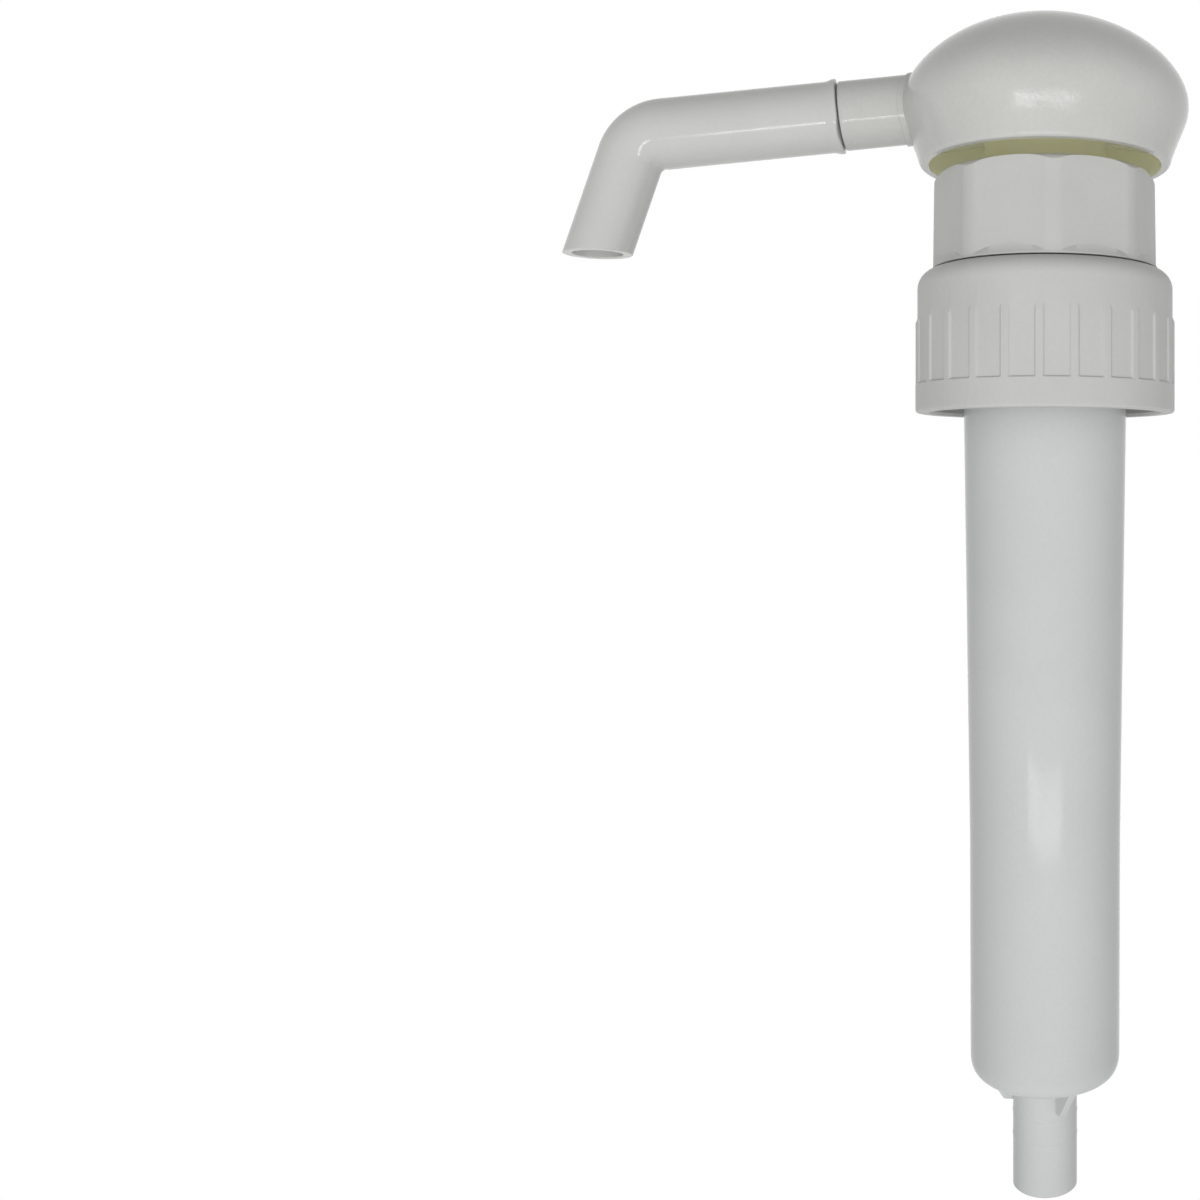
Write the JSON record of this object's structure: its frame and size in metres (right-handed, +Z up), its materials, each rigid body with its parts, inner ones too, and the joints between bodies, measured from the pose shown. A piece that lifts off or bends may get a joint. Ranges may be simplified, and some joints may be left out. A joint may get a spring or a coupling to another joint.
{
  "type": "bottle dispensing pump",
  "caption": "Hand pump for a canister neck: domed push head with long bent spout, octagonal lock-down collar, ribbed screw cap and long barrel.",
  "frame": {"origin": "on the pump's axis, in the plane where the gasket meets the rim of the container's neck", "axes": "+Z up along the pump's axis towards the head, -X towards the spout"},
  "size_m": [0.1249, 0.0572, 0.2316],
  "materials": {
    "gloss_white": "semi-gloss moulded polypropylene",
    "matt_white": "satin moulded polypropylene, lightly scuffed",
    "natural": "unpigmented, slightly yellowish plastic",
    "inner_white": "plain moulded polypropylene",
    "soft_seal": "soft polyethylene seal",
    "rubber": "black elastomer",
    "steel": "drawn stainless wire and polished stainless balls"
  },
  "bodies": {
    "housing": {"barrel": "gloss_white", "neck_gasket": "rubber", "collar": "matt_white", "stem_guide": "inner_white", "guide_seal": "rubber", "wiper_ring": "soft_seal", "ball_cage": "inner_white", "return_spring": "steel"},
    "cap": {"screw_cap": "matt_white"},
    "slip_ring": {"spring_cap": "inner_white"},
    "plunger": {"head": "gloss_white", "lock_screw": "natural", "spout": "gloss_white", "stem": "inner_white", "piston": "inner_white", "piston_seal": "soft_seal", "piston_nut": "inner_white", "discharge_cage": "inner_white"},
    "lower_ball": {"suction_ball": "steel"},
    "upper_ball": {"discharge_ball": "steel"}
  },
  "joints": [
    {"name": "cap_turn", "type": "hinge", "parent": "housing", "child": "cap", "pos_m": [0, 0, 0], "axis": [0, 0, 1], "continuous": true},
    {"name": "pump_stroke", "type": "slide", "parent": "housing", "child": "slip_ring", "axis": [0, 0, 1], "range_m": [0, 0.052], "deforming": ["return_spring"]},
    {"name": "head_swivel", "type": "hinge", "parent": "slip_ring", "child": "plunger", "pos_m": [0, 0, 0], "axis": [0, 0, 1], "continuous": true},
    {"name": "suction_ball_lift", "type": "slide", "parent": "housing", "child": "lower_ball", "axis": [0, 0, 1], "range_m": [0, 0.003]},
    {"name": "discharge_ball_lift", "type": "slide", "parent": "plunger", "child": "upper_ball", "axis": [0, 0, 1], "range_m": [0, 0.0025]}
  ]
}
